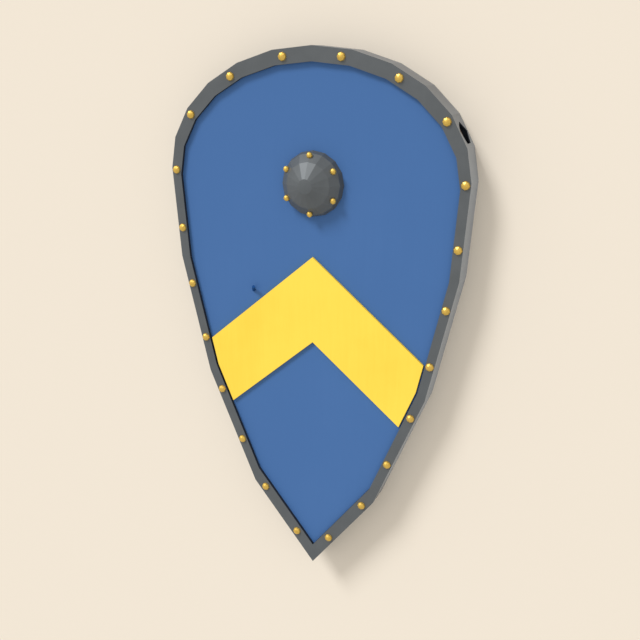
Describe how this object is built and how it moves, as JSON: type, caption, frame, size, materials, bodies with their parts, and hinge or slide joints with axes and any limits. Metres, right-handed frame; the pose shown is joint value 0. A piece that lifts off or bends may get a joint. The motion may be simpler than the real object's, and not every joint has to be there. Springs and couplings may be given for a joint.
{
  "type": "kite shield",
  "caption": "Kite shield with a painted wooden board, raised chevron, boxed iron rim, domed iron boss, brass rivets and leather straps behind.",
  "frame": {"origin": "on the plane that the rim's back rests on, under the middle of the shield's box", "axes": "+Z out of the shield's face, +Y towards its rounded top, +X to the right of someone who faces it"},
  "size_m": [0.5706, 1, 0.0878],
  "materials": {
    "field_paint": "satin blue paint on wood",
    "chevron_paint": "satin yellow paint on wood",
    "rim_iron": "dark grey iron sheet, dull",
    "boss_iron": "dark grey iron, hammered in flats and rubbed",
    "brass": "hammered brass rivets",
    "leather": "brown harness leather",
    "strap_iron": "blackened iron rivets",
    "peg_paint": "iron rivet end painted dark blue"
  },
  "bodies": {
    "root": {"board": "field_paint", "rim": "rim_iron", "chevron": "chevron_paint", "boss": "boss_iron", "grip_strap": "leather", "arm_strap": "leather", "grip_rivet_upper": "strap_iron", "grip_rivet_lower": "peg_paint", "rim_rivet_01": "brass", "rim_rivet_02": "brass", "rim_rivet_03": "brass", "rim_rivet_04": "brass", "rim_rivet_05": "brass", "rim_rivet_06": "brass", "rim_rivet_07": "brass", "rim_rivet_08": "brass", "rim_rivet_09": "brass", "rim_rivet_10": "brass", "rim_rivet_11": "brass", "rim_rivet_12": "brass", "rim_rivet_13": "brass", "rim_rivet_14": "brass", "rim_rivet_15": "brass", "rim_rivet_16": "brass", "rim_rivet_17": "brass", "rim_rivet_18": "brass", "rim_rivet_19": "brass", "rim_rivet_20": "brass", "rim_rivet_21": "brass", "rim_rivet_22": "brass", "boss_rivet_1": "brass", "boss_rivet_2": "brass", "boss_rivet_3": "brass", "boss_rivet_4": "brass", "boss_rivet_5": "brass", "boss_rivet_6": "brass", "arm_rivet_1": "strap_iron", "arm_rivet_2": "strap_iron", "arm_rivet_3": "strap_iron", "arm_rivet_4": "strap_iron"}
  },
  "joints": []
}
